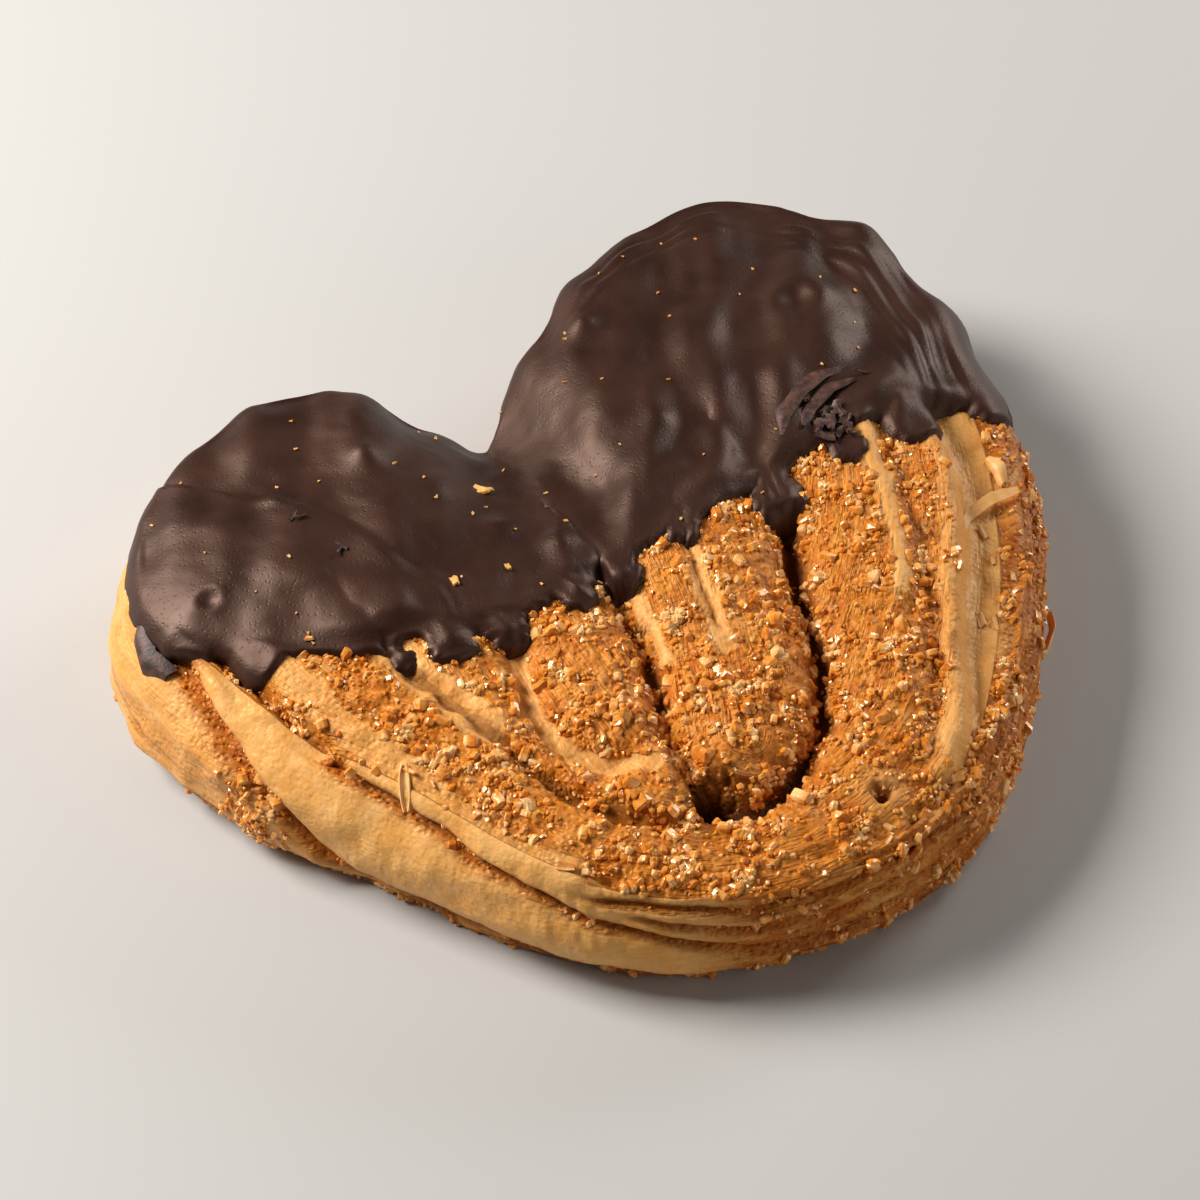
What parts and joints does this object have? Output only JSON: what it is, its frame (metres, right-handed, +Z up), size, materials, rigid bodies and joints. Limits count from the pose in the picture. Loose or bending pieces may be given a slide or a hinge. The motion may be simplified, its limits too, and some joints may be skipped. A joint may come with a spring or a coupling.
{
  "type": "palmier pastry",
  "caption": "Heart-shaped coiled puff pastry with a sugared cut face, lying flat, its lobes dipped in dark chocolate.",
  "frame": {"origin": "on the flat resting face, under the middle of the object's box", "axes": "+X from the left lobe to the right lobe, +Y from the fold to the lobes, +Z up, through the thickness"},
  "size_m": [0.1154, 0.1036, 0.0237],
  "materials": {
    "pastry": "baked, caramelised puff pastry with layered edges",
    "chocolate": "set dark chocolate, satin"
  },
  "bodies": {
    "root": {"pastry": "pastry", "chocolate_coat": "chocolate"}
  },
  "joints": []
}
